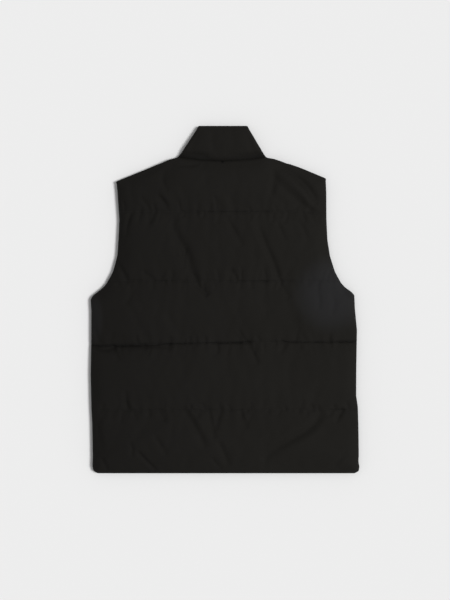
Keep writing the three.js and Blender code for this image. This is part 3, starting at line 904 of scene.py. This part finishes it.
back_outer, back_inner = back_grid()
puckers = panel_puckers((-270, 270), seed=20)
channels = ((-350, -240), (-220, -105), (-80, 30), (50, 175), (195, 280))
wrinkles_each = 13
wrinkles = [wrinkle for number, (low, high) in enumerate(channels)
            for wrinkle in wrinkles_between(low, high, (-255, 255), wrinkles_each, seed=40 + number)]
back_outer[..., 2] -= trough_depth(back_outer[..., :2], SEAM_TROUGHS)
for quilt_line, slump in zip(QUILT_LINES, SLUMPS):
    back_outer = slumped(back_outer, quilt_line, slump)
back_outer = creased(back_outer, BACK_CREASES + puckers + wrinkles)
back_outer[..., 2] = np.maximum(back_outer[..., 2], BACK_UNDERSIDE + THINNEST)
back = closed_pad("back_panel", back_outer, back_inner, cloth_material)
# Painted shade: darker cloth in the quilting valleys and in a small spot round the neck bar.
from_bar = np.linalg.norm(back_outer[..., :2] - np.array(BAR_CENTRE), axis=-1)
store_painted_shade(back, np.maximum(painted_valley_shade(back_outer, BACK_PULLS), np.exp(-(from_bar / BAR_SHADE) ** 2)))
dress(back, "back")
print("back:", len(back.data.polygons), "faces, loft", round(float(back_outer[..., 2].max() / MM), 1))

# %% [markdown]
# ## The fronts
#
# The two fronts lie under the back, quilted at the same heights, and meet at the zip. They carry the vest's
# weight, so their outer faces are pressed flat on the surface where they reach it. Only their edges can
# show in the photograph.

# %% Fronts
FRONT_TOP = 10 * MM
FRONT_ROLL = 24 * MM
FRONT_COLUMNS = 62
FLOOR_GAP = 0.15 * MM
FRONTS = {
    "front_left": {"outer_x": -HALF_WIDTH, "inner_x": -10 * MM, "range": (-270, -14), "seed": 60},
    "front_right": {"outer_x": HALF_WIDTH, "inner_x": 10 * MM, "range": (10, 270), "seed": 70},
}
FRONT_PULLS = [[0.85] * len(PULL_PLACES)] * len(QUILT_LINES)
FRONT_CREASES = [
    (2.6, 7, 1, ((-236, 168), (-199, 105), (-150, 52))),
    (2.2, 7, -1, ((-70, 150), (-47, 106), (-34, 58))),
    (2.4, 8, 1, ((-250, -20), (-220, -48), (-196, -82))),
    (1.8, 8, 1, ((-120, 20), (-95, -28), (-60, -70))),
    (2.6, 8, -1, ((-196, -110), (-153, -156), (-120, -210))),
    (2, 7, 1, ((-44, -120), (-29, -166), (-20, -214))),
    (2.6, 8, 1, ((-240, -250), (-212, -293), (-176, -330))),
    (2.4, 8, -1, ((-110, -244), (-81, -290), (-60, -340))),
    (2.2, 7, 1, ((72, 196), (103, 232), (140, 262))),
    (2.8, 8, 1, ((44, 160), (82, 109), (110, 52))),
    (2, 7, -1, ((190, 150), (170, 106), (158, 60))),
    (2.2, 8, -1, ((34, 10), (69, -30), (96, -76))),
    (2, 8, 1, ((170, 20), (196, -28), (232, -70))),
    (2.4, 7, 1, ((60, -110), (41, -157), (30, -206))),
    (2.4, 8, 1, ((236, -120), (203, -172), (160, -216))),
    (2.8, 8, 1, ((40, -250), (76, -294), (104, -344))),
    (2, 7, -1, ((200, -248), (214, -291), (236, -330))),
]


def front_grid(node, front):
    level = FRONT_TOP - RAY_DEPTH
    tip = SHOULDER_TIPS["left" if front["outer_x"] < 0 else "right"]
    left_x, right_x = sorted([front["outer_x"], front["inner_x"]])
    left_stops, right_stops = stops_at(node, left_x, tip), stops_at(node, right_x, tip)
    plan, sewn = panel_plan(node, level, left_stops, right_stops, FRONT_COLUMNS)
    plan = make_room_for_rim(plan)[:, ::-1]
    loft = SETTLED * quilted_loft(plan, sewn, FRONT_TOP, FRONT_ROLL, FRONT_PULLS)
    inner = lifted(plan, FRONT_TOP)
    outer = swollen(lifted(plan, FRONT_TOP - loft), inner, sewn)
    return finer_grid(outer, sewn), finer_grid(inner, sewn)


def build_front(node, front):
    outer, inner = front_grid(node, front)
    outer = creased(outer, FRONT_CREASES + panel_puckers(front["range"], front["seed"]))
    outer[..., 2] = np.clip(outer[..., 2], FLOOR_GAP, FRONT_TOP - THINNEST)
    panel = closed_pad(node + "_panel", outer, inner, cloth_material)
    # Painted shade: darker cloth in the quilting valleys.
    store_painted_shade(panel, painted_valley_shade(outer, FRONT_PULLS))
    dress(panel, node)
    print(node, len(panel.data.polygons), "faces")
    return outer


front_outers = {node: build_front(node, front) for node, front in FRONTS.items()}

# %% [markdown]
# ## The collar
#
# The stand-up collar is one padded band. Laid flat, it is folded at both sides: its back part lies on top,
# and its two front parts pass under it and dip towards the zip. One grid follows the whole band. A row runs
# from zip to zip at one height of the band, and at every point a turn says which way the padding faces:
# down in front, out at the folds and up at the back.

# %% Collar grid
NECK_HEIGHT = 300 * MM
COLLAR_TOP = 364 * MM
COLLAR_LOFT = 10 * MM
COLLAR_ROLL = 26 * MM
FOLD_GAP = 0.3 * MM
FOLD_LEVEL = FRONT_TOP + FOLD_GAP
ZIP_EDGE = 7.7 * MM
COLLAR_ENDS = {
    "centre": (-5.7, -3.6),
    "half": (92.4, 52),
    "front_drop": (84, 72),
    "back_drop": (7, 0),
}
COLLAR_CREASES = [
    (3.0, 7, 0, ((-98, 302), (-73, 304), (-35, 298))),
    (3.0, 7, 0, ((28, 298), (59, 302), (91, 304))),
    (1.3, 8, 0, ((-25, 357), (-27, 331), (-22, 308))),
    (1.1, 9, 0, ((13, 359), (17, 334), (24, 313))),
    (1.4, 7, 0, ((45, 355), (53, 331), (57, 313))),
    (1.2, 8, 0, ((-54, 357), (-64, 331), (-75, 313))),
]
COLLAR_PRESSURE = 1.0
COLLAR_EDGE_HOLD = 9 * MM
SEAM_SHADE = 7 * MM
NECK_MIDDLE = -5.7 * MM
NECK_HALF = 92 * MM
COLLAR_STEPS = {"rows": 17, "front": 34, "fold": 10, "back": 42}


def zip_line(y):
    """The X of the zip's middle at a height: it leans slightly."""
    return -2 * MM - 0.011 * y


def collar_band(station):
    """Sizes of the collar at a station from 0 at the neck seam to 1 at its top edge, a straight line
    between ends."""
    band = {name: (low + (high - low) * station) * MM for name, (low, high) in COLLAR_ENDS.items()}
    height = COLLAR_TOP - NECK_HEIGHT
    rise = loft_rise(np.minimum(station, 1 - station) * height, COLLAR_ROLL)
    band["loft"] = EDGE_LOFT + (COLLAR_LOFT - EDGE_LOFT) * rise
    band["fold_y"] = NECK_HEIGHT + height * station
    band["reach"] = band["half"] - band["loft"] - FOLD_GAP
    return band


def neck_curve(x, band, drop):
    """A parabola across the neck: level with the folds at both ends, and lower by the drop in the
    middle."""
    across = np.clip((x - band["centre"]) / band["reach"], -1, 1)
    return band["fold_y"] - drop * (1 - across ** 2)


def collar_front(band, side):
    """x, y, loft, turn and side of a front part, from zip to fold."""
    zip_edge = zip_line(band["fold_y"] - band["front_drop"]) + side * ZIP_EDGE
    share = np.linspace(0, 1, COLLAR_STEPS["front"]) ** 0.75
    x = zip_edge + (band["centre"] + side * band["reach"] - zip_edge) * share
    rise = np.maximum(loft_rise(np.abs(x - zip_edge), EDGE_ROLL), 0.2)
    loft = EDGE_LOFT + (band["loft"] - EDGE_LOFT) * rise
    turn = np.full(x.shape, -math.pi / 2)
    return np.stack([x, neck_curve(x, band, band["front_drop"]), loft, turn, 0 * x], axis=-1)


def collar_fold(band, side):
    """The same at a fold, from the front part to the back part."""
    turn = np.linspace(-math.pi / 2, math.pi / 2, COLLAR_STEPS["fold"] + 2)[1:-1]
    same = np.ones(turn.shape)
    x = (band["centre"] + side * band["reach"]) * same
    return np.stack([x, band["fold_y"] * same, band["loft"] * same, turn, side * same], axis=-1)


def collar_back(band):
    x = band["centre"] + band["reach"] * np.linspace(-1, 1, COLLAR_STEPS["back"])
    turn = np.full(x.shape, math.pi / 2)
    y = neck_curve(x, band, band["back_drop"])
    return np.stack([x, y, np.full(x.shape, band["loft"]), turn, 0 * x], axis=-1)


def collar_row(station):
    band = collar_band(station)
    left = [collar_front(band, -1), collar_fold(band, -1)]
    right = [collar_fold(band, 1)[::-1], collar_front(band, 1)[::-1]]
    return np.concatenate([*left, collar_back(band), *right])


def collar_grids():
    """Outer and inner face: the loft is laid off from the folded middle surface in the direction of the
    turn."""
    rows = np.stack([collar_row(station) for station in np.linspace(0, 1, COLLAR_STEPS["rows"])])
    x, y, loft, turn, side = np.moveaxis(rows, -1, 0)

    def at(radius):
        return np.stack([x + side * np.cos(turn) * radius, y, FOLD_LEVEL + np.sin(turn) * radius], axis=-1)

    return at(FOLD_GAP + loft), at(np.full(loft.shape, FOLD_GAP))


collar_outer, collar_inner = collar_grids()
collar_outer = swollen(collar_outer, collar_inner, [], whole_inner=True, pressure=COLLAR_PRESSURE)
collar_outer, collar_inner = finer_grid(collar_outer), finer_grid(collar_inner)
from_seam = np.linspace(0, 1, len(collar_outer))[:, None] * (COLLAR_TOP - NECK_HEIGHT)
on_top = collar_outer[..., 2] > FOLD_LEVEL
from_top = COLLAR_TOP - NECK_HEIGHT - from_seam
collar_hold = on_top * loft_rise(np.minimum(from_seam, from_top), COLLAR_EDGE_HOLD)
collar_outer = creased(collar_outer, COLLAR_CREASES, collar_hold)
collar_outer[..., 2] = np.maximum(collar_outer[..., 2], FLOOR_GAP)
collar = closed_pad("collar_band", collar_outer, collar_inner, cloth_material, whole_inner=True)
# Painted shade: darker cloth just above the collar's neck seam, most towards its ends, where the band
# overhangs the seam.
off_centre = np.abs(collar_outer[..., 0] - NECK_MIDDLE) / NECK_HALF
seam_shade = np.exp(-(from_seam / SEAM_SHADE) ** 2) * (0.05 + 0.85 * np.clip(off_centre, 0, 1))
store_painted_shade(collar, seam_shade * on_top)
dress(collar, "collar")
print("collar:", len(collar.data.polygons), "faces")

# %% [markdown]
# ## Thread, tape and metal
#
# Three small materials finish the sewing and the zip. The thread is twisted black polyester, the tape a
# herringbone weave, and the metal parts are painted black, rubbed paler where they have been handled.

# %% Materials of the zip and the thread
THREAD_DARK = (0.0050, 0.0046, 0.0040, 1)
THREAD_LIGHT = (0.0110, 0.0102, 0.0090, 1)
BAR_THREAD = (0.0016, 0.0015, 0.0014, 1)
TAPE_DARK = (0.0070, 0.0068, 0.0064, 1)
TAPE_LIGHT = (0.0150, 0.0146, 0.0138, 1)
PAINT = (0.0120, 0.0122, 0.0130, 1)
RUBBED = (0.1200, 0.1210, 0.1250, 1)


def thread_cloth(name, dark, light):
    """The twist is a sine wave running slantwise over the thread."""
    recipe = Recipe(name, Specular_IOR_Level=0.2)
    x, y, z = recipe.axes()
    fluff = recipe.noise(900.0)
    twist = ((x + y) * (2 * math.pi / (0.5 * MM)) + z * 4000.0).sine()
    return recipe.finish(
        Base_Color=recipe.blend(fluff, dark, light),
        Roughness=0.55 + 0.2 * fluff,
        Normal=recipe.bump(twist, 0.06 * MM, strength=0.7),
    )


def tape_cloth():
    """Herringbone: ribs 1.1 mm apart that lean one way and then the other, from the size of a slow wave
    across."""
    recipe = Recipe("zip_tape_cloth", Specular_IOR_Level=0.25)
    x, y, z = recipe.axes()
    lean = (x * (math.pi / (1.4 * MM))).sine().size()
    ribs = ((y + lean * (0.8 * MM)) * (2 * math.pi / (1.1 * MM))).sine()
    wear = recipe.noise(120.0, detail=3.0)
    return recipe.finish(
        Base_Color=recipe.blend(wear * 0.6 + (ribs * 0.5 + 0.5) * 0.4, TAPE_DARK, TAPE_LIGHT),
        Roughness=0.7 + 0.15 * wear,
        Normal=recipe.bump(ribs, 0.12 * MM, strength=0.6),
    )


def painted_metal():
    """Black paint with fine orange peel. A sparse noise, sharpened, lays bare small rubbed spots of paler
    metal."""
    recipe = Recipe("painted_zip_metal", Specular_IOR_Level=0.5)
    cloud = recipe.noise(260.0, detail=5.0)
    rubbed = recipe.add("ShaderNodeMapRange", {"interpolation_type": "SMOOTHSTEP"},
                        {"Value": cloud, "From Min": 0.58, "From Max": 0.72, "To Min": 0.0, "To Max": 0.5})
    peel = recipe.noise(1500.0, detail=2.0)
    return recipe.finish(
        Base_Color=recipe.blend(rubbed, PAINT, RUBBED),
        Metallic=rubbed * 0.9,
        Roughness=0.32 + 0.18 * cloud,
        Normal=recipe.bump(peel, 0.04 * MM, strength=0.4),
    )


thread_material = thread_cloth("thread", THREAD_DARK, THREAD_LIGHT)
bar_material = thread_cloth("bar_thread", BAR_THREAD, THREAD_DARK)
tape_material, metal_material = tape_cloth(), painted_metal()
print("small materials ready")

# %% [markdown]
# ## Quilting stitches
#
# Each quilting line is a row of lockstitches, about seven to the inch, that sit in the valley. A stitch is
# a short thread with rounded ends, half sunk in the cloth. All stitches of a panel are one piece.

# %% Stitches along a row
STITCH_LENGTH = 3.1 * MM
STITCH_PITCH = 3.8 * MM
THREAD_RADIUS = 0.26 * MM
STITCH_RINGS = ((-1.0, 0.15), (-0.8, 0.85), (0.0, 1.0), (0.8, 0.85), (1.0, 0.15))
STITCH_SIDES = 6


def along_row(row, pitch):
    """Points spaced evenly along a row of points, and the direction of the row at each."""
    steps = np.linalg.norm(np.diff(row, axis=0), axis=1)
    run = np.concatenate([[0], np.cumsum(steps)])
    places = np.arange(pitch, run[-1] - pitch, pitch)
    spots = np.column_stack([np.interp(places, run, row[:, axis]) for axis in range(3)])
    ahead = np.column_stack([np.interp(places + pitch / 4, run, row[:, axis]) for axis in range(3)])
    return spots, unit(ahead - spots)


def tubes(name, points, material, smooth=True, turned=False):
    """Closed tubes in one mesh: points[tube, ring, corner] are joined ring to ring and capped at both
    ends."""
    count, rings, sides, _ = points.shape
    corner = np.arange(sides)
    quads = np.stack([corner, np.roll(corner, -1), np.roll(corner, -1) + sides, corner + sides], axis=-1)
    one = [face for ring in range(rings - 1) for face in (quads + ring * sides).tolist()]
    one += [corner[::-1].tolist(), (corner + sides * (rings - 1)).tolist()]
    if turned:
        one = [face[::-1] for face in one]
    faces = [[place + rings * sides * tube for place in face] for tube in range(count) for face in one]
    return new_piece(name, points.reshape(-1, 3), faces, material, smooth)


def stitches(name, spots, direction, up, length=STITCH_LENGTH, material=thread_material):
    """One thread for each spot. Every ring of a thread is a circle across the stitch, narrower towards its
    ends."""
    aside = unit(np.cross(up, direction))
    up = np.cross(direction, aside)
    turn = np.arange(STITCH_SIDES) * 2 * math.pi / STITCH_SIDES
    rings = []
    for place, width in STITCH_RINGS:
        centre = spots + direction * (place * length / 2) + up * (0.35 * width - 0.25) * THREAD_RADIUS
        around = aside[:, None] * np.cos(turn)[:, None] + up[:, None] * np.sin(turn)[:, None]
        rings.append(centre[:, None] + around * width * THREAD_RADIUS)
    piece = tubes(name, np.stack(rings, axis=1), material)
    dress(piece)
    return piece


def sewn_rows(grid):
    """The row of the grid that lies on each quilting line: the one nearest to it half-way across."""
    middle = grid[:, grid.shape[1] // 2]
    return [int(np.argmin(np.abs(middle[:, 1] - line_height(line, middle[:, 0])))) for line in QUILT_LINES]


def quilting(name, grid, outward):
    rows = [along_row(grid[row], STITCH_PITCH) for row in sewn_rows(grid)]
    spots, direction = (np.concatenate(part) for part in zip(*rows))
    return stitches(name, spots, direction, np.broadcast_to([0.0, 0.0, outward], spots.shape))


quilting_pieces = [quilting("back_quilting", back_outer, 1.0)]
quilting_pieces += [quilting(node + "_quilting", grid, -1.0) for node, grid in front_outers.items()]
print("stitches:", [len(piece.data.polygons) for piece in quilting_pieces])

# %% [markdown]
# A short bar of stitches crosses the collar seam at the middle of the back. It is the dark speck in the
# photograph.

# %% Bar at the neck
BAR_STITCHES = 8
BAR_PITCH = 0.62 * MM
BAR_LENGTH = 4.2 * MM
BAR_LIFT = 0.1 * MM


def height_at(grid, x, y):
    """The height of a panel's outer face, along the column of its grid nearest to x."""
    column = grid[:, int(np.argmin(np.abs(grid[-1, :, 0] - x)))]
    return float(np.interp(y, column[:, 1], column[:, 2]))


bar_x = BAR_CENTRE[0] + (np.arange(BAR_STITCHES) - (BAR_STITCHES - 1) / 2) * BAR_PITCH
bar_low, bar_middle, bar_high = (
    height_at(back_outer, BAR_CENTRE[0], BAR_CENTRE[1] + end * BAR_LENGTH / 2) for end in (-1, 0, 1))
bar_spots = np.array([(x, BAR_CENTRE[1], bar_middle + BAR_LIFT) for x in bar_x])
bar_along = unit(np.array([0.0, BAR_LENGTH, bar_high - bar_low]))
bar_up = np.cross([1.0, 0.0, 0.0], bar_along)
bar_directions, bar_ups = (np.broadcast_to(way, bar_spots.shape) for way in (bar_along, bar_up))
stitches("neck_bar", bar_spots, bar_directions, bar_ups, BAR_LENGTH, bar_material)
print("bar from", round(bar_low / MM, 1), "to", round(bar_high / MM, 1), "mm high")

# %% [markdown]
# ## The zip
#
# The zip lies between the two fronts, teeth level with the surface side. A tape is a narrow strip with a
# rolled edge that carries the teeth. The teeth of the two sides alternate and reach a little past the
# middle, so they interlock.

# %% Zip tapes
ZIP_LOW = -354 * MM
ZIP_HIGH = 283 * MM
TAPE_SECTION = np.array([
    (7.4, 7.5), (7.2, 8.0), (6.6, 8.1), (3.6, 8.1), (2.9, 8.2), (2.3, 8.5), (1.7, 8.3), (1.4, 7.5),
    (1.7, 6.7), (2.3, 6.5), (2.9, 6.8), (3.6, 6.9), (6.6, 6.9), (7.2, 7.0),
]) * MM
TAPE_ROWS = 180


def zip_points(side, across, y, z):
    """Places beside the zip's leaning middle line."""
    return np.stack([zip_line(y) + side * across, y, z], axis=-1)


def zip_tape(name, node, side):
    y = np.linspace(ZIP_LOW, ZIP_HIGH, TAPE_ROWS)[:, None]
    across, z = TAPE_SECTION[:, 0], TAPE_SECTION[:, 1]
    waver = 0.05 * MM * np.sin(y * 190 + side) * (across > 3 * MM)
    points = zip_points(side, across + 0 * y, y + 0 * across, z + waver)
    tape = tubes(name, points[None], tape_material, turned=side > 0)
    dress(tape, node)
    return tape


tapes = [zip_tape("zip_tape_left_woven", "zip_tape_left", -1),
         zip_tape("zip_tape_right_woven", "zip_tape_right", 1)]
print("tapes:", [len(tape.data.polygons) for tape in tapes])

# %% Zip teeth
TOOTH_PITCH = 2.7 * MM
TOOTH_LEVEL = 7.5 * MM
TEETH_HIGH = ZIP_HIGH - 12 * MM
TOOTH_RINGS = ((2.9, 0.7, 1.1), (0.9, 0.78, 1.2), (0.35, 0.55, 1.05), (-0.2, 0.7, 1.05), (-0.75, 0.6, 0.85))


def zip_teeth(name, side):
    """A tooth is a row of rounded rectangles from the tape inwards: its clamp, a waist, and a head past the
    middle.

    Each ring says how far it stands from the middle line, half its length along the zip, and half its
    depth."""
    first = ZIP_LOW + TOOTH_PITCH * (1.0 if side < 0 else 1.5)
    y = np.arange(first, TEETH_HIGH, TOOTH_PITCH)
    corner = np.array([(1, 0.6), (0.6, 1), (-0.6, 1), (-1, 0.6),
                       (-1, -0.6), (-0.6, -1), (0.6, -1), (1, -0.6)])
    rings = [zip_points(side, np.full((len(y), len(corner)), place * MM),
                        y[:, None] + corner[:, 0] * half * MM,
                        TOOTH_LEVEL + 0 * y[:, None] + corner[:, 1] * deep * MM)
             for place, half, deep in TOOTH_RINGS]
    teeth = tubes(name, np.stack(rings, axis=1), metal_material, smooth=False, turned=side > 0)
    dress(teeth)
    return teeth


teeth = [zip_teeth("zip_teeth_left", -1), zip_teeth("zip_teeth_right", 1)]
print("teeth:", [len(row.data.polygons) for row in teeth])

# %% [markdown]
# ## Slider, pull tab and retainer
#
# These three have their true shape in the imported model. Each gets rounded edges: its triangles are merged
# into flat faces again, and every sharp edge is bevelled.

# %% Rounded metal parts
def rounded_copy(node, name, body, width):
    """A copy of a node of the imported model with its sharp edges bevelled."""
    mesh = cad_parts[node].data.copy()
    mesh.materials.clear()
    mesh.materials.append(metal_material)
    shape = bmesh.new()
    shape.from_mesh(mesh)
    shape.transform(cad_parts[node].matrix_world)
    bmesh.ops.remove_doubles(shape, verts=shape.verts, dist=0.001 * MM)
    bmesh.ops.dissolve_limit(shape, angle_limit=math.radians(1), verts=shape.verts, edges=shape.edges)
    sharp = [edge for edge in shape.edges if edge.is_manifold and edge.calc_face_angle() > math.radians(35)]
    bmesh.ops.bevel(shape, geom=sharp, offset=width, segments=2, profile=0.6, affect="EDGES",
                    clamp_overlap=True)
    bmesh.ops.triangulate(shape, faces=[face for face in shape.faces if len(face.verts) > 4])
    bmesh.ops.recalc_face_normals(shape, faces=shape.faces)
    shape.to_mesh(mesh)
    shape.free()
    mesh.polygons.foreach_set("use_smooth", [False] * len(mesh.polygons))
    piece = bpy.data.objects.new(name, mesh)
    bpy.context.scene.collection.objects.link(piece)
    dress(piece, node, body)
    return piece


metal_parts = [
    rounded_copy("zip_slider", "slider_body", "vest", 0.22 * MM),
    rounded_copy("zip_box", "retainer_box", "vest", 0.35 * MM),
    rounded_copy("zip_pull", "pull_tab_plate", "pull_tab", 0.22 * MM),
]
print("metal parts:", [len(part.data.polygons) for part in metal_parts])
